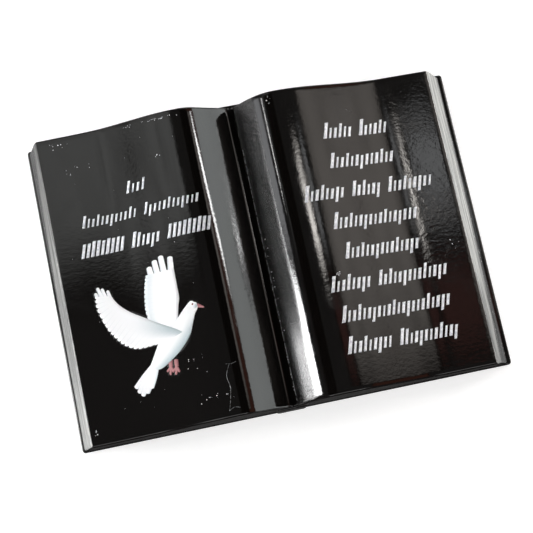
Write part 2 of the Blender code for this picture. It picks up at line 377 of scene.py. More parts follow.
@dataclass(frozen=True)
class BlackLacquer:
    """Gloss black lacquer sprayed over cast polyester resin.

    It is near-black with a hint of brown and mirrors the lamps sharply, with the fine orange
    peel of sprayed lacquer, which breaks the edge of each highlight into sparkles. The spray is
    dry on the right page's inner slope and pebbled beside its fore-edge. The dust of that dry
    spray is finer than grit_size; it is drawn as coarse as it needs to show. Towards the tail of
    the slope the lacquer pooled, which smooths it and turns its gloss upwards. The pool's bump
    is deeper than real lacquer lies, so that the wide highlight falls where it should.
    """

    colour: str = "#0b0908"
    roughness: float = 0.05
    haze_roughness: float = 0.13
    haze_size: float = 17 * MM
    haze_limits: Point = (0.35, 0.7)
    ior: float = 1.5
    peel_size: tuple = (1.7 * MM, 1.2 * MM, 1.4 * MM)
    peel_turn: float = 0.35
    peel_height: float = 0.026 * MM
    dry_across: Span = Span(-3.2 * MM, -1 * MM, 3.8 * MM, 6.2 * MM)
    grit_size: float = 0.9 * MM
    grit_height: float = 0.42 * MM
    pebbled_across: Span = Span(56 * MM, 64 * MM, 80 * MM, 83 * MM)
    patch_size: float = 34 * MM
    patch_limits: Point = (0.42, 0.58)
    wrinkle_size: float = 2.2 * MM
    wrinkle_height: float = 0.04 * MM
    pool_across: Span = Span(-2.3 * MM, 2.0 * MM, 6 * MM, 7 * MM)
    pool_along: Span = Span(-80 * MM, -62 * MM, -44 * MM, -14 * MM)
    pool_bowl: Point = (6 * MM, -4 * MM)
    pool_depth: float = 5.9 * MM
    pooled_grit: float = 0.22

    def material(self, name: str = "black lacquered resin") -> Material:
        """The lacquer's material.

        Args:
            name: What to call it.

        Returns:
            The material.
        """
        material, tree, shader = new_material(name)
        place = add_node(tree, "ShaderNodeTexCoord").outputs["Object"]
        x, y, _ = add_node(tree, "ShaderNodeSeparateXYZ", {0: place}).outputs
        stretched = add_node(tree, "ShaderNodeMapping",
                             {"Vector": place, "Scale": tuple(1 / size for size in self.peel_size),
                              "Rotation": (0.0, 0.0, self.peel_turn)})
        # Where each noise lies, and its size, detail, roughness and distortion
        kinds = ((stretched, 1.0, 2.5, 0.55, 0.0), (place, self.grit_size, 3.0, 0.85, 0.0),
                 (place, self.wrinkle_size, 2.5, 0.55, 0.8), (place, self.patch_size, 1.0, 0.5, 0.0),
                 (place, self.haze_size, 4.0, 0.5, 1.2))
        peel, grit, wrinkle, patchy, smoky = (
            add_node(tree, "ShaderNodeTexNoise", {"Vector": where, "Scale": 1 / size, "Detail": detail,
                                                  "Roughness": rough, "Distortion": twist})
            for where, size, detail, rough, twist in kinds)
        # Each range is a value, its low and high ends, and what they turn into
        depth, patches, hazy = (add_node(tree, "ShaderNodeMapRange", dict(enumerate(ranges))) for ranges in (
            (x, *self.pool_bowl), (patchy, *self.patch_limits),
            (smoky, *self.haze_limits, self.roughness, self.haze_roughness)))
        pairs = ((depth, depth), (span_mask(tree, x, self.pebbled_across), patches),
                 (span_mask(tree, x, self.pool_across), span_mask(tree, y, self.pool_along)))
        bowl, pebbled, pooled = (add_node(tree, "ShaderNodeMath", {0: one, 1: other}, operation="MULTIPLY")
                                 for one, other in pairs)
        wet = add_node(tree, "ShaderNodeMapRange", {0: pooled, 3: 1.0, 4: self.pooled_grit})
        gritty = add_node(tree, "ShaderNodeMath", {0: span_mask(tree, x, self.dry_across), 1: wet},
                          operation="MULTIPLY")
        # The pool lies lowest, then the orange peel, the grit and the pebbles
        surface = {}
        for height, distance, strength in (
                (bowl, self.pool_depth, pooled), (peel, self.peel_height, 1.0),
                (grit, self.grit_height, gritty), (wrinkle, self.wrinkle_height, pebbled)):
            bump = add_node(tree, "ShaderNodeBump", {"Height": height, "Distance": distance,
                                                     "Strength": strength, **surface})
            surface = {"Normal": bump}
        set_inputs(shader, {"Base Color": linear(self.colour), "Roughness": hazy, "IOR": self.ior,
                            **surface})
        return material


@dataclass(frozen=True)
class MattBlack:
    """Thin black base coat where the lacquer gun didn't reach, on the head and tail edges.

    It stays dark and dull, also at a glancing look.
    """

    colour: str = "#100e0d"
    roughness: float = 0.55
    ior: float = 1.12
    specular: float = 0.15

    def material(self) -> Material:
        """The base coat's material."""
        material, _, shader = new_material("matt black base coat")
        set_inputs(shader, {"Base Color": linear(self.colour), "Roughness": self.roughness, "IOR": self.ior,
                            "Specular IOR Level": self.specular})
        return material


@dataclass(frozen=True)
class BrushedSilver:
    """Silver enamel dry-brushed over the black lacquer.

    Its fine aluminium flakes give a pale satin grey. The brush skips hollows and edges, so
    the black shows through as lines and flecks. On the fore-edges it caught only the top leaves
    at the head of the left page and reached lower towards its tail. On the right page it caught
    nearly all at the head and less towards the tail. On the fore-edges the silver's tone is
    painted shade: it darkens towards black at the head of the left fore-edge and at the tail of
    the right one, and the left fore-edge is darker as a whole.
    """

    pale: str = "#cfcfcc"
    shade: str = "#7f8080"
    black: str = "#151414"
    metallic: float = 0.3
    roughness: float = 0.42
    bare_roughness: float = 0.08
    coat_height: float = 0.02 * MM
    coat_bump: float = 0.4
    streak_width: float = 0.8 * MM
    streak_length: float = 30 * MM
    mottle_size: float = 1.1 * MM
    tone_limits: Point = (0.36, 0.6)
    bare_below: float = 0.3
    bare_softness: float = 0.05
    # These tones darken the fore-edge silver towards black as painted shade, from tail to head.
    left_tail_tone: float = 0.725
    left_head_tone: float = 0.2
    right_tail_tone: float = 0.5
    right_head_tone: float = 0.9
    left_head_height: float = 14.5 * MM
    left_tail_height: float = 2.0 * MM
    left_fall: float = 44 * MM
    right_head_height: float = 4.2 * MM
    right_tail_height: float = 10.5 * MM
    right_fall_start: float = 5 * MM
    edge_jitter: float = 1.8 * MM
    edge_below: float = 1.4 * MM
    edge_above: float = 1.8 * MM
    streak_limits: Point = (0.3, 0.7)
    skip_limits: Point = (0.22, 0.3)
    spatter_limits: Point = (0.64, 0.68)
    spatter_strength: float = 0.8

    def material(self, name: str, streaked: bool) -> Material:
        """The paint's material.

        Args:
            name: What to call it.
            streaked: True on the fore-edges, where the brush ran along the leaves; false on the
                inscription.

        Returns:
            The material.
        """
        material, tree, shader = new_material(name)
        place = add_node(tree, "ShaderNodeTexCoord").outputs["Object"]
        size = (1 / self.streak_width, 1 / self.streak_length, 1 / self.streak_width)
        stretched = add_node(tree, "ShaderNodeMapping", {"Vector": place, "Scale": size})
        streaks = add_node(tree, "ShaderNodeTexNoise", {"Vector": stretched, "Scale": 1.0, "Detail": 2.0})
        mottle = add_node(tree, "ShaderNodeTexNoise",
                          {"Vector": place, "Scale": 1 / self.mottle_size, "Detail": 3.0})
        tone = add_node(tree, "ShaderNodeMapRange",
                        dict(enumerate((streaks if streaked else mottle, *self.tone_limits))))
        black = linear(self.black)
        silver = add_node(tree, "ShaderNodeMix", {0: tone, 6: linear(self.shade), 7: linear(self.pale)},
                          data_type="RGBA")
        if streaked:
            # On the fore-edges the silver is darkened towards black by painted shade.
            thickness, painted = self._fore_edge(tree, place, streaks, mottle)
            silver = add_node(tree, "ShaderNodeMix", {0: thickness, 6: black, 7: silver.outputs[2]},
                              data_type="RGBA")
        else:
            painted = add_node(tree, "ShaderNodeMapRange",
                               {0: mottle, 1: self.bare_below - self.bare_softness, 2: self.bare_below})
        colour = add_node(tree, "ShaderNodeMix", {0: painted, 6: black, 7: silver.outputs[2]},
                          data_type="RGBA")
        metal = add_node(tree, "ShaderNodeMath", {0: painted, 1: self.metallic}, operation="MULTIPLY")
        rough = add_node(tree, "ShaderNodeMapRange", {0: painted, 3: self.bare_roughness, 4: self.roughness})
        height = add_node(tree, "ShaderNodeMath", {0: painted, 1: tone}, operation="ADD")
        bump = add_node(tree, "ShaderNodeBump",
                        {"Height": height, "Distance": self.coat_height, "Strength": self.coat_bump})
        set_inputs(shader, {"Base Color": colour.outputs[2], "Metallic": metal, "Roughness": rough,
                            "Normal": bump})
        return material

    def _fore_edge(self, tree: Tree, place: Socket, streaks: Node, mottle: Node) -> tuple[Node, Node]:
        """How the coat lies on the fore-edges.

        Args:
            tree: The node tree.
            place: Object coordinates.
            streaks: Noise stretched along the leaves.
            mottle: Fine even noise.

        Returns:
            The silver's tone, which is painted shade, and where the coat is.
        """
        x, y, z = add_node(tree, "ShaderNodeSeparateXYZ", {0: place}).outputs
        head, tail = SIZES.head_y, SIZES.tail_y
        down = add_node(tree, "ShaderNodeMapRange",
                        {0: y, 1: head, 2: tail, 3: 0.0, 4: (tail - head) / self.left_fall})
        fall = add_node(tree, "ShaderNodeMath", {0: down}, operation="EXPONENT")
        # Each range is a value, its low and high ends, and what they turn into
        left_tone, right_tone, left_foot, right_foot, jitter, whole, spatter = (
            add_node(tree, "ShaderNodeMapRange", dict(enumerate(ranges))) for ranges in (
                (y, tail, head, self.left_tail_tone, self.left_head_tone),
                (y, tail, 0.0, self.right_tail_tone, self.right_head_tone),
                (fall, 0.0, 1.0, self.left_tail_height, self.left_head_height),
                (y, self.right_fall_start, tail, self.right_head_height, self.right_tail_height),
                (streaks, *self.streak_limits, -self.edge_jitter, self.edge_jitter),
                (mottle, *self.skip_limits), (mottle, *self.spatter_limits, 0.0, self.spatter_strength)))
        on_left = add_node(tree, "ShaderNodeMath", {0: x, 1: 0.0}, operation="LESS_THAN")
        # The tone is painted shade: darker at the head of the left fore-edge, at the tail of the right one,
        # and on the left as a whole.
        tone, foot = (add_node(tree, "ShaderNodeMix", {0: on_left, 2: right, 3: left})
                      for left, right in ((left_tone, right_tone), (left_foot, right_foot)))
        level = add_node(tree, "ShaderNodeMath", {0: foot, 1: jitter}, operation="ADD")
        above = add_node(tree, "ShaderNodeMath", {0: z, 1: level}, operation="SUBTRACT")
        covered = add_node(tree, "ShaderNodeMapRange", {0: above, 1: -self.edge_below, 2: self.edge_above},
                           interpolation_type="SMOOTHSTEP")
        both = add_node(tree, "ShaderNodeMath", {0: covered, 1: whole}, operation="MULTIPLY")
        return tone, add_node(tree, "ShaderNodeMath", {0: both, 1: spatter}, operation="MAXIMUM")


@dataclass
class Casting:
    """The whole casting: cover board, spine and block of pages, joined as one."""

    sizes: BookSizes = SIZES
    section_steps: int = 74
    crowding: float = 1.35
    arc_steps: int = 7
    rows_along: int = 96
    rim_steps: int = 4
    leaf_count: int = 13
    leaf_line_width: float = 0.34 * MM
    leaf_line_depth: float = 0.3 * MM
    shallowest_line: float = 0.55
    leaf_jitter: float = 0.14
    leaf_wander_share: float = 0.006
    leaf_wander_length: float = 24 * MM
    leaf_wander_turns: float = 40
    leaf_top_share: float = 0.9
    leaf_step: float = 0.12 * MM
    seed: int = 11
    smooth_angle: float = math.radians(38)
    steep: float = 0.55
    rim_turn: float = 0.99
    rim_share: float = 0.92
    cover_clearance: float = 0.05 * MM
    stations: list[Station] = field(default_factory=list)

    def build(self, lacquer: Material, silver: Material,
              matt: Material) -> Object:
        """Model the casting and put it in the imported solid's place.

        Args:
            lacquer: The black finish.
            silver: The brushed finish of the fore-edges.
            matt: The dull finish of the head and tail edges.

        Returns:
            The finished piece.
        """
        self.stations = self._stations()
        block = link_mesh("book_casting", self._page_block(), (lacquer, silver, matt))
        cover = link_mesh("cover", self._slab(
            -self.sizes.width / 2, self.sizes.width / 2, self.sizes.length / 2,
            self.sizes.cover_thickness, self.sizes.cover_corner_radius), (lacquer,))
        half_spine = self.sizes.spine_width / 2
        spine = link_mesh("spine", self._slab(
            -self.sizes.gutter_offset - half_spine, -self.sizes.gutter_offset + half_spine,
            self.sizes.length / 2 + self.sizes.spine_overhang, self.sizes.spine_height,
            self.sizes.spine_corner_radius), (lacquer,))
        for tool in (cover, spine):
            union = block.modifiers.new("join " + tool.name, "BOOLEAN")
            union.operation = "UNION"
            union.object = tool
        apply_modifiers(block)
        for tool in (cover, spine):
            bpy.data.objects.remove(tool, do_unlink=True)
        block.data.shade_smooth()
        block.data.set_sharp_from_angle(angle=self.smooth_angle)
        self._paint_edges(block.data)
        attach(block, BODY)
        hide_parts(NODE)
        return block

    def _stations(self) -> list[Station]:
        """Places along the head edge, from the left fore-edge to the right one."""
        halves = []
        for page in (LEFT_PAGE, RIGHT_PAGE):
            first = self.sizes.groove_width / 2
            last = page.width - self.sizes.page_corner_radius
            half = [Station(page, first * 0.5, 0.0, 1.0)]
            for step in range(self.section_steps + 1):
                run = first + (last - first) * (step / self.section_steps) ** self.crowding
                half.append(Station(page, run, 0.0, 1.0))
            for step in range(1, self.arc_steps + 1):
                turn = math.pi / 2 * step / self.arc_steps
                run = page.width - self.sizes.page_corner_radius * (1 - math.sin(turn))
                half.append(Station(page, run, math.sin(turn), math.cos(turn)))
            halves.append(half)
        return halves[0][::-1] + [Station(RIGHT_PAGE, 0.0, 0.0, 1.0)] + halves[1]

    def _levels(self) -> list[Level]:
        """Rings of the block from its foot to its rim, with an uneven groove between leaves."""
        draw = random.Random(self.seed)
        levels = [Level(0.0, -self.sizes.cover_thickness / 2, 0.0, 0.0)]
        half = self.leaf_line_width / 2
        for leaf in range(1, self.leaf_count + 1):
            place = leaf + draw.uniform(-self.leaf_jitter, self.leaf_jitter)
            share = self.leaf_top_share * place / (self.leaf_count + 1)
            depth = self.leaf_line_depth * draw.uniform(self.shallowest_line, 1.0)
            step = self.leaf_step * draw.uniform(0.0, 1.0)
            levels.append(Level(share, -half, step, self.leaf_wander_share))
            levels.append(Level(share, 0.0, depth, self.leaf_wander_share))
            levels.append(Level(share, half, 0.0, self.leaf_wander_share))
        rim = self.sizes.rim_rounding
        for step in range(self.rim_steps + 1):
            turn = math.pi / 2 * step / self.rim_steps
            levels.append(Level(1.0, rim * (math.sin(turn) - 1), rim * (1 - math.cos(turn)), 0.0))
        return levels

    def _point(self, station: Station, level: Level, row: int) -> Vector:
        """Place of one vertex of the block.

        Args:
            station: Where along the head edge.
            level: Which ring.
            row: Which row from the head, out of rows_along.

        Returns:
            The vertex in world coordinates.
        """
        sizes, page = self.sizes, station.page
        lean = page.lean * page.spread_at(station.run) * (1 - level.share)
        x = page.x_at(station.run + lean - level.inset * station.across)
        corner = sizes.page_corner_radius * (1 - station.along) + level.inset * station.along
        head, tail = sizes.head_y - corner, sizes.tail_y + corner
        y = head + (tail - head) * row / self.rows_along
        top = page.height_at(station.run) + WAVES.at(x, y)
        share = level.share
        if level.wander:
            length = self.leaf_wander_length
            share += level.wander * noise.noise(Vector((x / length, y / length,
                                                       share * self.leaf_wander_turns)))
        z = sizes.cover_thickness + share * (top - sizes.cover_thickness) + level.rise
        return Vector((x, y, z))

    def _ring(self, shape: Solid, level: Level) -> list[Vert]:
        """Vertices all round the block at one level."""
        last_row = self.rows_along
        inner = range(1, last_row)
        places = [(station, 0) for station in self.stations]
        places += [(self.stations[-1], row) for row in inner]
        places += [(station, last_row) for station in self.stations[::-1]]
        places += [(self.stations[0], row) for row in reversed(inner)]
        return [shape.verts.new(self._point(station, level, row)) for station, row in places]

    def _page_block(self) -> Solid:
        """The block of pages as a closed mesh."""
        shape = bmesh.new()
        levels = self._levels()
        rings = [self._ring(shape, level) for level in levels]
        count = len(rings[0])
        for low, high in zip(rings, rings[1:]):
            bridge(shape, low, high)
        shape.faces.new(rings[0][::-1])
        across, last_row = len(self.stations), self.rows_along
        top = rings[-1]
        grid = [top[:across]]
        for row in range(1, last_row):
            line = [top[count - row]]
            for station in self.stations[1:-1]:
                line.append(shape.verts.new(self._point(station, levels[-1], row)))
            line.append(top[across + row - 1])
            grid.append(line)
        tail_start = across + last_row - 1
        grid.append(top[tail_start:tail_start + across][::-1])
        for upper, lower in zip(grid, grid[1:]):
            for here in range(across - 1):
                shape.faces.new((upper[here], lower[here], lower[here + 1], upper[here + 1]))
        bmesh.ops.recalc_face_normals(shape, faces=shape.faces)
        return shape

    def _slab(self, x_low: float, x_high: float, half_length: float, height: float,
              radius: float) -> Solid:
        """A flat board with rounded corners and edges, standing on the ground.

        Args:
            x_low: Its left side.
            x_high: Its right side.
            half_length: Half its length along Y.
            height: Its thickness.
            radius: Radius of its four corners.

        Returns:
            A closed mesh.
        """
        shape = bmesh.new()
        rounding = self.sizes.cover_edge_rounding
        rings = []
        quarter = [math.pi / 2 * step / self.rim_steps for step in range(self.rim_steps + 1)]
        edge = [(rounding * (1 - math.cos(turn)), rounding * math.sin(turn)) for turn in quarter]
        profile = [(inset, rounding - rise) for inset, rise in edge[::-1]]
        profile += [(inset, height - rounding + rise) for inset, rise in edge]
        for inset, z in profile:
            ring = []
            for quadrant, (side_x, side_y) in enumerate(((1, -1), (1, 1), (-1, 1), (-1, -1))):
                centre_x = (x_high if side_x > 0 else x_low) - side_x * radius
                centre_y = side_y * (half_length - radius)
                for step in range(self.arc_steps + 1):
                    angle = math.pi / 2 * (quadrant - 1 + step / self.arc_steps)
                    reach = radius - inset
                    ring.append(shape.verts.new((centre_x + reach * math.cos(angle),
                                                 centre_y + reach * math.sin(angle), z)))
            rings.append(ring)
        for low, high in zip(rings, rings[1:]):
            bridge(shape, low, high)
        shape.faces.new(rings[0][::-1])
        shape.faces.new(rings[-1])
        bmesh.ops.recalc_face_normals(shape, faces=shape.faces)
        return shape

    def _paint_edges(self, mesh: bpy.types.Mesh) -> None:
        """Give the silver finish to the fore-edges and the matt one to the head and tail edges.

        Args:
            mesh: The joined casting.
        """
        sizes = self.sizes
        for polygon in mesh.polygons:
            centre, normal = polygon.center, polygon.normal
            over_cover = centre.z > sizes.cover_thickness + self.cover_clearance
            page = RIGHT_PAGE if centre.x > 0 else LEFT_PAGE
            outside = page.run_at(centre.x) > page.width - self.rim_share * sizes.rim_rounding
            if abs(normal.y) > self.steep:
                polygon.material_index = 2
            elif over_cover and outside and abs(normal.z) < self.rim_turn:
                polygon.material_index = 1


class Row(NamedTuple):
    """One row of the inscription."""

    page: Page
    centre_share: float
    baseline_share: float
    length_share: float
    mark_height: float
    words: tuple[int, ...]
    tall_words: tuple[int, ...] = ()


class Stroke(NamedTuple):
    """One stroke: where it starts and ends and how wide it is, as shares of the row's height."""

    foot_share: float
    top_share: float
    width_share: float


@dataclass
class Inscription:
    """Rows of raised slanted strokes, which aren't letters, painted silver."""

    relief: float = 0.34 * MM
    sunk: float = 0.12 * MM
    lean_share: float = 0.30
    place_share: float = 0.4
    set_back: float = 0.3
    word_gap_share: float = 1.4
    dome: float = 0.25
    flare: float = 0.1
    waist: float = 0.95
    left_centre_share: float = 0.546
    right_centre_share: float = 0.569
    right_first_share: float = 0.185
    right_pitch_share: float = 0.0996
    small_height: float = 5.0 * MM
    middle_height: float = 6.0 * MM
    tall_height: float = 6.6 * MM
    left_rows: tuple = ((0.233, 0.10, "small", (4,), ()), (0.313, 0.59, "small", (12, 12), ()),
                        (0.409, 0.65, "middle", (9, 6, 9), (0, 2)))
    right_rows: tuple = ((0.33, (6, 6)), (0.33, (13,)), (0.65, (8, 6, 9)), (0.43, (17,)), (0.38, (15,)),
                         (0.59, (8, 14)), (0.55, (22,)), (0.56, (9, 12)))
    tall_stroke: Stroke = Stroke(0.0, 1.0, 0.23)
    strokes: tuple = (Stroke(0.0, 0.68, 0.2), Stroke(0.0, 0.68, 0.15), Stroke(0.0, 0.68, 0.21),
                      Stroke(0.0, 0.92, 0.19), Stroke(0.0, 0.68, 0.15), Stroke(0.0, 0.68, 0.21),
                      Stroke(-0.24, 0.68, 0.19))
    stations: tuple = (0.0, 0.05, 0.2, 0.4, 0.6, 0.8, 0.95, 1.0)
    shoulders: tuple = (-1.0, -0.74, 0.0, 0.74, 1.0)
    wobble: float = 0.06
    seed: int = 5
    smooth_angle: float = math.radians(50)

    def rows(self) -> list[Row]:
        """Every row of both pages."""
        heights = {"small": self.small_height, "middle": self.middle_height}
        rows = [Row(LEFT_PAGE, self.left_centre_share, down, length, heights[size], words, tall)
                for down, length, size, words, tall in self.left_rows]
        for index, (length, words) in enumerate(self.right_rows):
            down = self.right_first_share + self.right_pitch_share * index
            rows.append(Row(RIGHT_PAGE, self.right_centre_share, down, length, self.tall_height, words))
        return rows

    def build(self, silver: Material) -> Object:
        """Model all the strokes as one piece.

        Args:
            silver: The paint on them.

        Returns:
            The finished piece.
        """
        shape = bmesh.new()
        draw = random.Random(self.seed)
        for row in self.rows():
            centre = row.page.x_at(row.centre_share * row.page.width)
            length = row.length_share * row.page.width
            baseline = SIZES.head_y - row.baseline_share * (SIZES.head_y - SIZES.tail_y)
            pitch = length / (sum(row.words) + self.word_gap_share * (len(row.words) - 1))
            x, drawn = centre - length / 2, 0
            for number, word in enumerate(row.words):
                for mark in range(word):
                    tall = mark == 0 or number in row.tall_words
                    stroke = self.tall_stroke if tall else self.strokes[drawn % len(self.strokes)]
                    self._stroke(shape, draw, stroke, x, pitch, baseline, row.mark_height)
                    x += pitch
                    drawn += 1
                x += self.word_gap_share * pitch
        bmesh.ops.recalc_face_normals(shape, faces=shape.faces)
        piece = link_mesh("inscription_strokes", shape, (silver,), self.smooth_angle)
        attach(piece, BODY)
        return piece

    def _stroke(self, shape: Solid, draw: random.Random, stroke: Stroke, x: float,
                pitch: float, baseline: float, mark_height: float) -> None:
        """Add one domed stroke that follows the page.

        Args:
            shape: The mesh that it goes in.
            draw: The source of its small unevenness.
            stroke: Its proportions.
            x: Left side of the mark's place.
            pitch: Width of the place.
            baseline: Where the row stands.
            mark_height: The row's height.
        """
        scale = 1 + draw.uniform(-self.wobble, self.wobble)
        width = stroke.width_share * mark_height * scale
        foot_y = baseline + stroke.foot_share * mark_height
        top_y = baseline + stroke.top_share * mark_height * scale
        foot_x = x + self.place_share * pitch - self.lean_share * mark_height * self.set_back
        foot_x += self.lean_share * stroke.foot_share * mark_height
        rings = []
        for along in self.stations:
            y = foot_y + (top_y - foot_y) * along
            centre = foot_x + self.lean_share * (y - foot_y)
            half = width / 2 * (self.waist + self.flare * abs(2 * along - 1) ** 3)
            end = along in (self.stations[0], self.stations[-1])
            line = []
            for shoulder in self.shoulders:
                px = centre + shoulder * half
                lift = self.relief * (1 - self.dome * shoulder ** 2)
                if end or abs(shoulder) == 1.0:
                    lift = -self.sunk / 2
                line.append(shape.verts.new((px, y, surface_height(px, y) + lift)))
            left_foot, right_foot = (shape.verts.new((px, y, surface_height(px, y) - self.sunk))
                                     for px in (centre - half, centre + half))
            rings.append([left_foot, *line, right_foot])
        for low, high in zip(rings, rings[1:]):
            bridge(shape, low, high)
        shape.faces.new(rings[0][::-1])
        shape.faces.new(rings[-1])


@dataclass(frozen=True)
class PrintInk:
    """Water-slide transfer: opaque screen ink sealed under the lacquer.

    It gives a flat, clean colour with soft airbrushed shading, faint printed quill lines and a
    gloss skin.
    """

    name: str
    light: str
    shade: str
    across: Span = Span(0.3, 1.0, 2.0, 3.0)
    along: Span = Span(-3.0, -2.0, 2.0, 3.0)
    quills: int = 0
    quill_strength: float = 0.3
    quill_line: Span = Span(-0.2, -0.1, 0.02, 0.22)
    quill_reach: Span = Span(0.2, 0.95, 2.0, 3.0)
    gloss: float = 0.22
    ior: float = 1.45
    grain_size: float = 0.3 * MM
    grain_strength: float = 0.15

    def material(self) -> Material:
        """The ink's material, shaded by its printed width and length."""
        material, tree, shader = new_material(self.name)
        coordinates = add_node(tree, "ShaderNodeTexCoord").outputs
        u, v, _ = add_node(tree, "ShaderNodeSeparateXYZ", {0: coordinates["UV"]}).outputs
        grain = add_node(tree, "ShaderNodeTexNoise",
                         {"Vector": coordinates["Object"], "Scale": 1 / self.grain_size})
        amount = add_node(tree, "ShaderNodeMapRange",
                          {0: grain, 3: 1 - self.grain_strength, 4: 1 + self.grain_strength})
        for axis, span in ((u, self.across), (v, self.along)):
            amount = add_node(tree, "ShaderNodeMath", {0: span_mask(tree, axis, span), 1: amount},
                              operation="MULTIPLY")
        if self.quills:
            amount = self._add_quills(tree, u, v, amount)
        colour = add_node(tree, "ShaderNodeMix",
                          {0: amount, 6: linear(self.light), 7: linear(self.shade)}, data_type="RGBA")
        set_inputs(shader, {"Base Color": colour.outputs[2], "Roughness": self.gloss, "IOR": self.ior})
        return material

    def _add_quills(self, tree: Tree, u: Socket, v: Socket, amount: Node) -> Node:
        """Add the faint line between one feather and the next, stronger towards the tips.

        Args:
            tree: The ink's node tree.
            u: Place across the wing, one at the feather tips.
            v: Place along the wing.
            amount: The shading so far.

        Returns:
            The shading with the lines.
        """
        feathers = add_node(tree, "ShaderNodeMath", {0: v, 1: float(self.quills)}, operation="MULTIPLY")
        place = add_node(tree, "ShaderNodeMath", {0: feathers}, operation="FRACT").outputs[0]
        lines = add_node(tree, "ShaderNodeMath",
                         {0: span_mask(tree, place, self.quill_line, self.quill_strength),
                          1: span_mask(tree, u, self.quill_reach)}, operation="MULTIPLY")
        return add_node(tree, "ShaderNodeMath", {0: amount, 1: lines}, operation="ADD", use_clamp=True)


def along_curve(points: Sequence[Point], share: float) -> Point:
    """Point on a smooth curve through a few points.

    Args:
        points: The points that it passes.
        share: How far along, from 0 to 1.

    Returns:
        The point, in the units given.
    """
    spans = len(points) - 1
    place = min(max(share, 0.0), 1.0) * spans
    index = min(int(place), spans - 1)
    t = place - index
    before = points[max(index - 1, 0)]
    start, end = points[index], points[index + 1]
    after = points[min(index + 2, spans)]
    result = []
    for a, b, c, d in zip(before, start, end, after):
        result.append(0.5 * (2 * b + (c - a) * t + (2 * a - 5 * b + 4 * c - d) * t ** 2
                             + (3 * b - a - 3 * c + d) * t ** 3))
    return (result[0], result[1])


class Ink(Enum):
    """The inks of the transfer, in the order of its material slots."""

    WING = 0
    BODY = 1
    TAIL = 2
    PINK = 3
    EYE = 4


class Band(NamedTuple):
    """A soft-ended band of ink: its middle line, half widths, ink and how round its ends are."""

    points: tuple[Point, ...]
    widths: tuple[float, ...]
    ink: Ink
    blunt: float = 0.6


class Vane(NamedTuple):
    """A patch of ink between two curves, with rounded feather tips along the second."""

    leading: tuple[Point, ...]
    trailing: tuple[Point, ...]
    ink: Ink
    feathers: int = 0
    depth: float = 0.0


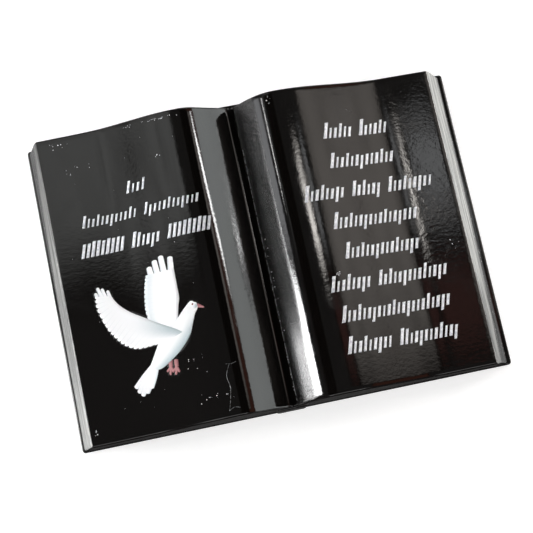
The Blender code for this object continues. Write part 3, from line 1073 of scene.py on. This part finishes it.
@dataclass
class DoveTransfer:
    """A flying white dove, a generic bird printed as a thin transfer on the left page.

    Its places are in millimetres in the book's frame, seen from above.
    """

    layer: float = 0.012 * MM
    ink_thickness: float = 0.018 * MM
    first_lift: float = 0.03 * MM
    film_layer: float = 0.0004 * MM
    film_lift: float = 0.015 * MM
    film_margin: float = 0.5
    row_length: float = 0.4
    columns: int = 10
    steps_a_feather: int = 8
    vane_rows: int = 60
    band_rows: int = 8
    heading_step: float = 0.02
    end_share: float = 0.004
    smooth_angle: float = math.radians(60)
    far_fingers: tuple = (((-41.8, -6.0), (-40.6, 4.2)), ((-44.0, -6.0), (-44.3, 5.4)),
                          ((-46.6, -6.0), (-47.1, 4.3)), ((-49.2, -6.0), (-49.6, 2.2)))
    near_fingers: tuple = (((-66.6, -9.6), (-67.6, -3.3)), ((-68.0, -9.6), (-69.7, -2.1)),
                           ((-69.2, -9.8), (-71.4, -1.4)), ((-70.4, -11.0), (-72.6, -3.4)))
    far_wing: Vane = Vane(((-40.0, -1.0), (-40.1, -8.2), (-40.2, -12.8), (-41.2, -16.4), (-43.0, -24.5)),
                          ((-51.3, -0.9), (-52.6, -5.2), (-53.7, -11.0), (-54.0, -16.4), (-52.6, -24.5)),
                          Ink.TAIL, 13, 0.45)
    near_wing: Vane = Vane(((-66.4, -6.0), (-65.5, -8.0), (-63.6, -10.7), (-60.2, -13.9), (-55.0, -17.5),
                            (-49.6, -21.2), (-44.2, -24.6), (-41.6, -26.6)),
                           ((-72.5, -4.8), (-72.7, -9.8), (-70.9, -16.6), (-68.4, -21.6), (-65.0, -26.0),
                            (-60.0, -28.8), (-53.6, -29.0), (-47.4, -28.6)), Ink.WING, 21, 0.85)
    body: Vane = Vane(((-34.0, -16.4), (-33.9, -18.6), (-35.4, -20.8), (-36.8, -24.0), (-38.8, -28.4),
                       (-42.6, -32.6), (-47.0, -35.9), (-51.8, -38.6), (-54.4, -38.8)),
                      ((-36.4, -15.4), (-38.2, -16.8), (-40.6, -19.0), (-43.6, -22.0), (-47.4, -25.0),
                       (-50.8, -27.6), (-52.8, -30.6), (-54.6, -33.6), (-56.6, -36.8)), Ink.BODY)
    tail_root: Point = (-54.0, -36.2)
    tail_tips: tuple = ((-64.0, -44.2), (-63.1, -46.3), (-61.8, -47.8), (-59.8, -47.2), (-57.8, -45.6))
    head: Band = Band(((-37.2, -18.2), (-35.4, -16.9), (-34.6, -16.3)), (1.7, 1.8, 1.6), Ink.BODY, 1.0)
    beak: Band = Band(((-34.2, -17.4), (-32.8, -18.2), (-31.3, -19.0)), (0.75, 0.6, 0.2), Ink.PINK, 0.4)
    eye: Band = Band(((-35.9, -16.6), (-35.3, -16.9)), (0.42, 0.42), Ink.EYE, 1.0)
    ankles: tuple = ((-48.4, -36.0), (-46.2, -36.4))
    foot_drop: Point = (-0.2, -3.2)
    toes: tuple = ((-2.0, -1.4), (-0.9, -3.0), (0.7, -2.2))
    shape: Optional[Solid] = None
    film: Optional[Solid] = None
    layers: int = 0

    def build(self, inks: dict[Ink, Material], clear: Material) -> list[Object]:
        """Model the print and the clear film that carries it.

        Args:
            inks: The material of each ink.
            clear: The film's finish.

        Returns:
            The film and the printed bird.
        """
        self.shape, self.film = bmesh.new(), bmesh.new()
        for mesh in (self.shape, self.film):
            mesh.loops.layers.uv.new("print")
        for base, tip in self.far_fingers:
            self._band(Band((base, tip), (1.35, 1.05), Ink.TAIL, 1.0))
        self._vane(self.far_wing)
        for tip in self.tail_tips:
            middle = tuple((a + b) / 2 for a, b in zip(self.tail_root, tip))
            self._band(Band((self.tail_root, middle, tip), (1.3, 1.35, 0.85), Ink.TAIL, 1.1))
        for ankle in self.ankles:
            self._foot(ankle)
        self._band(self.beak)
        self._vane(self.body)
        self._band(self.head)
        self._band(self.eye)
        for base, tip in self.near_fingers:
            self._band(Band((base, tip), (0.95, 0.62), Ink.TAIL, 1.2))
        self._vane(self.near_wing)
        ordered = tuple(inks[ink] for ink in Ink)
        pieces = []
        for name, mesh, materials in (("transfer_film", self.film, (clear,)),
                                      ("dove_transfer", self.shape, ordered)):
            for face in mesh.faces:
                face.normal_update()
                if face.normal.z < 0:
                    face.normal_flip()
            piece = link_mesh(name, mesh, materials, self.smooth_angle)
            skin = piece.modifiers.new("thickness", "SOLIDIFY")
            skin.thickness = self.ink_thickness
            skin.offset = -1.0
            apply_modifiers(piece)
            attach(piece, BODY)
            pieces.append(piece)
        return pieces

    def _foot(self, ankle: Point) -> None:
        """Add one small pink foot with three toes, tucked under the tail.

        Args:
            ankle: Where it starts.
        """
        heel = (ankle[0] + self.foot_drop[0], ankle[1] + self.foot_drop[1])
        self._band(Band((ankle, heel), (0.85, 0.75), Ink.PINK))
        for toe in self.toes:
            self._band(Band((heel, (heel[0] + toe[0], heel[1] + toe[1])), (0.62, 0.38), Ink.PINK))

    def _vane(self, vane: Vane) -> None:
        """Add a patch between two curves, with feather tips along its second one.

        Args:
            vane: Its curves and feathers.
        """
        count = max(self.steps_a_feather * vane.feathers, self.vane_rows)
        grid = []
        for row in range(count + 1):
            share = row / count
            start, end = along_curve(vane.leading, share), along_curve(vane.trailing, share)
            tip = vane.depth * (math.sqrt(abs(math.sin(math.pi * vane.feathers * share))) - 0.5)
            reach = 1 + (tip / math.dist(start, end) if vane.feathers else 0.0)
            line = []
            for column in range(self.columns + 1):
                part = column / self.columns
                line.append((start[0] + (end[0] - start[0]) * part * reach,
                             start[1] + (end[1] - start[1]) * part * reach))
            grid.append(line)
        self._print(grid, vane.ink)

    def _band(self, band: Band) -> None:
        """Add a soft-ended band.

        Args:
            band: Its line, widths, ink and ends.
        """
        length = sum(math.dist(a, b) for a, b in zip(band.points, band.points[1:]))
        count = max(int(length / self.row_length), self.band_rows)
        size_line = [(width, 0.0) for width in band.widths]
        grid = []
        for row in range(count + 1):
            share = row / count
            here = along_curve(band.points, share)
            ahead, behind = (along_curve(band.points, share + step)
                             for step in (self.heading_step, -self.heading_step))
            heading = Vector((ahead[0] - behind[0], ahead[1] - behind[1])).normalized()
            half = along_curve(size_line, share)[0]
            reach = min(min(share, 1 - share) * length / (band.blunt * half), 1.0)
            half *= math.sqrt(max(1 - (1 - reach) ** 2, self.end_share))
            sides = [2 * column / self.columns - 1 for column in range(self.columns + 1)]
            grid.append([(here[0] - heading.y * side * half, here[1] + heading.x * side * half)
                         for side in sides])
        self._print(grid, band.ink)

    def _print(self, grid: Sequence[Sequence[Point]], ink: Ink) -> None:
        """Lay a grid of places on the page as one layer of ink, with film under and round it.

        Args:
            grid: Rows of places, in millimetres.
            ink: Which ink.
        """
        self.layers += 1
        centre_x = sum(x for line in grid for x, _ in line) / sum(len(line) for line in grid)
        centre_y = sum(y for line in grid for _, y in line) / sum(len(line) for line in grid)
        wide = [[(x + math.copysign(self.film_margin, x - centre_x),
                  y + math.copysign(self.film_margin, y - centre_y)) for x, y in line] for line in grid]
        self._lay(self.shape, grid, self.first_lift + self.layer * self.layers, ink.value)
        self._lay(self.film, wide, self.film_lift + self.film_layer * self.layers, 0)

    def _lay(self, shape: Solid, grid: Sequence[Sequence[Point]], lift: float,
             slot: int) -> None:
        """Lay a grid of places on the page, with printed coordinates.

        Args:
            shape: The mesh that it goes in.
            grid: Rows of places, in millimetres.
            lift: Height over the page.
            slot: Its material slot.
        """
        uv = shape.loops.layers.uv.active
        rows = []
        for line in grid:
            rows.append([shape.verts.new((x * MM, y * MM, surface_height(x * MM, y * MM) + lift))
                         for x, y in line])
        down, across = len(rows) - 1, len(rows[0]) - 1
        for row in range(down):
            for column in range(across):
                corners = ((row, column), (row, column + 1), (row + 1, column + 1), (row + 1, column))
                face = shape.faces.new([rows[r][c] for r, c in corners])
                face.material_index = slot
                for loop, (r, c) in zip(face.loops, corners):
                    loop[uv].uv = (c / across, r / down)


@dataclass
class Flecks:
    """Stray specks of silver and lifted hairs of lacquer, as the brush and the spray left them, with painted
    glints and a painted highlight line among them.
    """

    seed: int = 23
    smallest: float = 0.08 * MM
    largest: float = 0.24 * MM
    lift: float = 0.05 * MM
    sides: int = 7
    speck_outline: Point = (0.7, 1.2)
    scattered: int = 26
    scatter_across: Point = (-80, -26)
    scatter_along: Point = (-60, 58)
    scatter_scale: float = 0.6
    # Each cluster is a centre, a spread across and along in millimetres, and a count. Those along the head
    # rim are partly silver specks and partly painted glints. Those at (24, -16) and (10.5, 59.5), and the
    # narrow rows at x -2 and x -1.4, are painted glints. The rest are silver specks.
    speck_and_glint_clusters: tuple = ((-34.0, -54.0, 6.0, 3.0, 12), (-83.0, -58.5, 1.6, 1.2, 7), (-37.5, 46.0, 0.8, 0.8, 4),
                       (24.0, -16.0, 1.2, 1.0, 11), (-70.0, 50.0, 7.0, 4.0, 7), (-40.0, -40.0, 6.0, 4.0, 8),
                       (-36.0, 60.6, 6.0, 0.7, 22), (-76.0, 59.5, 4.0, 1.0, 9), (-47.0, 60.6, 3.0, 0.6, 6),
                       (10.5, 59.5, 1.2, 2.0, 7), (74.0, -12.0, 2.0, 4.0, 4), (-2.0, -44.0, 0.25, 30.0, 60),
                       (-1.4, -8.0, 0.5, 20.0, 14))
    hairs: tuple = (((-27.6, -42.8), (-25.2, -43.0), (-23.6, -42.6)),
                    ((-26.4, -43.2), (-28.2, -47.5), (-27.6, -52.0), (-28.6, -57.0), (-29.8, -61.0)),
                    ((-29.8, -61.0), (-27.8, -60.0), (-25.4, -60.4)),
                    ((42.6, 51.6), (43.6, 50.8), (44.8, 50.2)),
                    # This long line along x -2 beside the gutter is a painted highlight line, not a lifted
                    # hair.
                    ((-2.2, 44.0), (-2.3, 20.0), (-2.1, -5.0), (-2.1, -30.0), (-2.0, -61.5)))
    hair_width: float = 0.16 * MM
    hair_unevenness: Point = (0.5, 1.2)
    hair_height: float = 0.07 * MM
    hair_sunk: float = 0.02 * MM
    hair_step: float = 1.2
    hair_steps_a_span: int = 6
    smooth_angle: float = math.radians(60)
    left_end: float = -84 * MM
    right_end: float = 79 * MM
    tail_gap: float = 2 * MM
    head_gap: float = 1.2 * MM

    def build(self, paint: Material, dull: Material) -> Object:
        """Model all the specks and hairs as one piece.

        Args:
            paint: The finish of the specks and of the painted glints.
            dull: The finish of the hairs and of the painted highlight line.

        Returns:
            The finished piece.
        """
        shape = bmesh.new()
        draw = random.Random(self.seed)
        for _ in range(self.scattered):
            x, y = draw.uniform(*self.scatter_across), draw.uniform(*self.scatter_along)
            self._speck(shape, draw, x * MM, y * MM, self.scatter_scale)
        for x, y, spread_x, spread_y, count in self.speck_and_glint_clusters:
            for _ in range(count):
                self._speck(shape, draw, (x + draw.gauss(0, spread_x / 2)) * MM,
                            (y + draw.gauss(0, spread_y / 2)) * MM, 1.0)
        silver_faces = len(shape.faces)
        for hair in self.hairs:
            self._hair(shape, draw, hair)
        shape.faces.ensure_lookup_table()
        for face in shape.faces[silver_faces:]:
            face.material_index = 1
        bmesh.ops.recalc_face_normals(shape, faces=shape.faces)
        piece = link_mesh("flecks_with_painted_glints", shape, (paint, dull), self.smooth_angle)
        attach(piece, BODY)
        return piece

    def _speck(self, shape: Solid, draw: random.Random, x: float, y: float, scale: float) -> None:
        """Add one low dome of paint, if it lies on a page.

        Args:
            shape: The mesh that it goes in.
            draw: The source of its size and outline.
            x: Its place across the book.
            y: Its place along the book.
            scale: How large it is beside the others.
        """
        if not (self.left_end < x < self.right_end
                and SIZES.tail_y + self.tail_gap < y < SIZES.head_y - self.head_gap):
            return
        radius = scale * self.smallest * (self.largest / self.smallest) ** draw.random()
        z = surface_height(x, y)
        centre = shape.verts.new((x, y, z + self.lift))
        foot = shape.verts.new((x, y, z - self.lift))
        rim = []
        for side in range(self.sides):
            angle = math.tau * side / self.sides
            reach = radius * draw.uniform(*self.speck_outline)
            px, py = x + reach * math.cos(angle), y + reach * math.sin(angle)
            rim.append(shape.verts.new((px, py, surface_height(px, py))))
        for here in range(self.sides):
            after = (here + 1) % self.sides
            shape.faces.new((centre, rim[here], rim[after]))
            shape.faces.new((foot, rim[after], rim[here]))

    def _hair(self, shape: Solid, draw: random.Random, points: Sequence[Point]) -> None:
        """Add one thin raised line of lifted lacquer.

        Args:
            shape: The mesh that it goes in.
            draw: The source of its uneven width.
            points: The points that it passes, in millimetres.
        """
        length = sum(math.dist(a, b) for a, b in zip(points, points[1:]))
        count = max(self.hair_steps_a_span * (len(points) - 1), int(length / self.hair_step))
        before = None
        for step in range(count + 1):
            x, y = along_curve(points, step / count)
            half = self.hair_width * draw.uniform(*self.hair_unevenness)
            spots = ((x * MM - half, y * MM, -self.hair_sunk), (x * MM, y * MM + half, self.hair_height),
                     (x * MM + half, y * MM, -self.hair_sunk))
            ring = [shape.verts.new((px, py, surface_height(px, py) + lift)) for px, py, lift in spots]
            if before:
                bridge(shape, before, ring)
            else:
                shape.faces.new(ring)
            before = ring
        shape.faces.new(before[::-1])


class Facing(Enum):
    """How a lamp card is turned: its tilt about X and then its turn about Z, in degrees."""

    DOWN = (0, 0)
    SIDEWAYS = (90, 90)
    FORWARD = (90, 0)


@dataclass(frozen=True)
class Card:
    """A soft lamp panel: a white card lit from behind, with a fading edge."""

    name: str
    facing: Facing
    centre: tuple[float, float, float]
    width: float
    height: float
    radiance: float
    tint: str = "#ffffff"
    fade: float = 0.12
    roll: float = 0.0
    cloud: float = 0.0
    cloud_size: float = 0.12
    end_fade: float = 0.0


@dataclass
class Studio:
    """Pale floor, soft lamp panels, dim room and the camera."""

    room_light: float = 0.1
    floor_size: float = 8.0
    floor_gap: float = 0.2 * MM
    floor_albedo: str = "#c8c8c8"
    floor_glow: float = 0.62
    floor_roughness: float = 0.9
    floor_specular: float = 0.1
    cloud_limits: Point = (0.3, 0.6)
    camera_place: tuple = (-51.1 * MM, -95.84 * MM, 534.05 * MM)
    turn_z: float = math.radians(12.144)
    turn_x: float = math.radians(-9.8)
    turn_y: float = math.radians(5.326)
    focal_pixels: float = 1300.0
    frame_pixels: float = 533.0
    sensor: float = 36.0
    cards: tuple = (
        Card("key_panel", Facing.DOWN, (-0.02, -0.62, 0.62), 1.1, 0.55, 2.7),
        Card("left_haze_panel", Facing.DOWN, (-0.278, 0.325, 0.52), 0.39, 0.49, 1.4, "#f4f6f4", 0.09,
             cloud=0.45, cloud_size=0.07, end_fade=0.13),
        Card("right_haze_panel", Facing.DOWN, (0.474, 0.15, 0.52), 0.36, 0.4, 1.8, "#fff6ee", 0.12,
             cloud=0.35, end_fade=0.22),
        Card("streak_lamp", Facing.DOWN, (0.186, 0.12, 0.515), 0.082, 0.14, 17.0, "#fffaf4", 0.4,
             cloud=0.55, cloud_size=0.04),
        Card("peel_patch", Facing.DOWN, (0.255, 0.14, 0.512), 0.05, 0.14, 2.4, "#f6f8fa", 0.35),
        Card("line_lamp", Facing.DOWN, (-0.56, 0.25, 0.515), 0.05, 0.14, 30.0, "#ffffff", 0.2,
             cloud=0.7, cloud_size=0.03),
        Card("brown_shade", Facing.DOWN, (0.25, 0.02, 0.51), 0.1, 0.1, 0.4, "#ffada4", 0.3),
        Card("right_wall_panel", Facing.SIDEWAYS, (0.69, 0.08, 0.16), 0.9, 0.31, 3.1, "#f6fbfa", 0.04),
        Card("right_line_lamp", Facing.SIDEWAYS, (0.688, 0.222, 0.395), 0.35, 0.08, 38.0, "#ffffff", 0.25,
             math.radians(50), cloud=0.8, cloud_size=0.03),
        Card("right_shade", Facing.SIDEWAYS, (0.74, 0.1, 0.62), 1.2, 0.6, 0.4, "#ff9c80", 0.1),
        Card("left_wall_panel", Facing.SIDEWAYS, (-0.70, 0.25, 0.32), 0.26, 0.36, 3.6, "#f6f8fb", 0.2),
        Card("left_window", Facing.SIDEWAYS, (-0.699, 0.03, 0.295), 0.17, 0.29, 40.0, "#ffffff", 0.16),
        Card("gutter_flag", Facing.DOWN, (-0.004, 0.0, 0.06), 0.032, 0.16, 0.0),
        Card("back_panel", Facing.FORWARD, (0.0, 0.9, 0.3), 1.6, 0.5, 1.4, "#ffffff", 0.2),
    )

    def build(self) -> None:
        """Make the floor, the lamps and the room."""
        self._floor()
        for card in self.cards:
            self._card(card)
        world = bpy.context.scene.world or bpy.data.worlds.new("room")
        bpy.context.scene.world = world
        world.use_nodes = True
        background = world.node_tree.nodes["Background"]
        background.inputs[0].default_value = (1.0, 1.0, 1.0, 1.0)
        background.inputs[1].default_value = self.room_light
        bpy.context.scene.view_settings.view_transform = "Standard"

    def camera(self) -> Object:
        """Put the camera where the photograph was taken from.

        Returns:
            The camera.
        """
        data = bpy.data.cameras.new("camera")
        data.sensor_width = self.sensor
        data.lens = self.focal_pixels / self.frame_pixels * self.sensor
        data.clip_start, data.clip_end = 0.01, 50.0
        camera = bpy.data.objects.new("camera", data)
        bpy.context.scene.collection.objects.link(camera)
        into_view = (Matrix.Rotation(self.turn_z, 3, "Z") @ Matrix.Rotation(self.turn_x, 3, "X")
                     @ Matrix.Rotation(self.turn_y, 3, "Y"))
        camera.matrix_world = Matrix.Translation(self.camera_place) @ into_view.transposed().to_4x4()
        bpy.context.scene.camera = camera
        return camera

    def _floor(self) -> None:
        """A plain pale floor that glows a little, so that shadows stay faint."""
        shape = bmesh.new()
        bmesh.ops.create_grid(shape, x_segments=1, y_segments=1, size=self.floor_size / 2)
        material, _, shader = new_material("pale studio floor")
        set_inputs(shader, {"Base Color": linear(self.floor_albedo), "Roughness": self.floor_roughness,
                            "Specular IOR Level": self.floor_specular,
                            "Emission Color": (1.0, 1.0, 1.0, 1.0), "Emission Strength": self.floor_glow})
        floor = link_mesh("floor", shape, (material,))
        floor.location.z = -self.floor_gap

    def _card(self, card: Card) -> None:
        """Hang one lamp panel, which the camera itself doesn't see.

        Args:
            card: Where it hangs and how bright it is.
        """
        shape = bmesh.new()
        bmesh.ops.create_grid(shape, x_segments=1, y_segments=1, size=0.5, calc_uvs=False)
        uv = shape.loops.layers.uv.new("card")
        for face in shape.faces:
            for loop in face.loops:
                loop[uv].uv = (loop.vert.co.x + 0.5, loop.vert.co.y + 0.5)
        material = bpy.data.materials.new(card.name)
        material.use_nodes = True
        tree = material.node_tree
        tree.nodes.clear()
        u, v, _ = add_node(tree, "ShaderNodeSeparateXYZ",
                           {0: add_node(tree, "ShaderNodeTexCoord").outputs["UV"]}).outputs
        end = max(card.fade, card.end_fade)
        across = span_mask(tree, u, Span(0.0, card.fade, 1 - card.fade, 1.0), card.radiance)
        along = span_mask(tree, v, Span(0.0, end, 1 - end, 1.0))
        glow = add_node(tree, "ShaderNodeMath", {0: across, 1: along}, operation="MULTIPLY")
        if card.cloud:
            position = add_node(tree, "ShaderNodeNewGeometry").outputs["Position"]
            cloud = add_node(tree, "ShaderNodeTexNoise",
                             {"Vector": position, "Scale": 1 / card.cloud_size, "Detail": 3.0})
            thin = add_node(tree, "ShaderNodeMapRange",
                            dict(enumerate((cloud, *self.cloud_limits, 1 - card.cloud))))
            glow = add_node(tree, "ShaderNodeMath", {0: glow, 1: thin}, operation="MULTIPLY")
        lamp = add_node(tree, "ShaderNodeEmission", {0: linear(card.tint), 1: glow})
        add_node(tree, "ShaderNodeOutputMaterial", {0: lamp})
        panel = link_mesh(card.name, shape, (material,))
        tilt, turn = (math.radians(angle) for angle in card.facing.value)
        turned = Matrix.Rotation(turn, 4, "Z") @ Matrix.Rotation(tilt, 4, "X")
        rolled = Matrix.Rotation(card.roll, 4, "Z") @ Matrix.Diagonal((card.width, card.height, 1.0, 1.0))
        panel.matrix_world = Matrix.Translation(card.centre) @ turned @ rolled
        panel.visible_camera = False


def main() -> None:
    """Build the book, its finishes and the studio, in order."""
    logging.basicConfig(level=logging.INFO, format="%(message)s")
    studio = Studio()
    studio.camera()
    lacquer = BlackLacquer().material()
    edge_silver = BrushedSilver().material("silver brushed fore-edge", streaked=True)
    letter_silver = BrushedSilver(pale="#f4f5f8", shade="#cdd0d8", roughness=0.4, metallic=0.1,
                                  bare_below=0.24).material("silver enamel strokes", streaked=False)
    # This grey draws the lifted hairs and the painted highlight line beside the gutter.
    dust = BrushedSilver(pale="#7c7f81", shade="#3c3d3d", metallic=0.0, bare_below=0.44).material(
        "grey lifted lacquer and painted line", streaked=False)
    inks = {
        Ink.WING: PrintInk("white feather ink", "#fbfbfd", "#b9c6ca", Span(-0.3, -0.05, 0.05, 0.7),
                           Span(0.42, 0.86, 2.0, 3.0), quills=21, quill_strength=0.2).material(),
        Ink.BODY: PrintInk("white body ink", "#fafbfc", "#bccbd0", Span(-0.3, -0.05, 0.02, 0.5),
                           Span(0.22, 0.55, 0.8, 1.1)).material(),
        Ink.TAIL: PrintInk("white tail ink", "#fbfbfd", "#dfe6ea", Span(0.6, 1.0, 2.0, 3.0)).material(),
        Ink.PINK: PrintInk("pink ink", "#b98486", "#8a585b", Span(0.4, 1.0, 2.0, 3.0)).material(),
        Ink.EYE: PrintInk("red brown ink", "#8a4c40", "#4a221c", Span(0.4, 1.0, 2.0, 3.0)).material(),
    }
    pieces = [Casting().build(lacquer, edge_silver, MattBlack().material()),
              Inscription().build(letter_silver)]
    pieces += DoveTransfer().build(inks, BlackLacquer(roughness=0.16).material("clear carrier film"))
    # The silver of the strokes also colours the specks and the painted glints.
    pieces.append(Flecks().build(letter_silver, dust))
    studio.build()
    for piece in pieces:
        log.info("%s: %d faces", piece.name, len(piece.data.polygons))


if __name__ == "__main__":
    main()
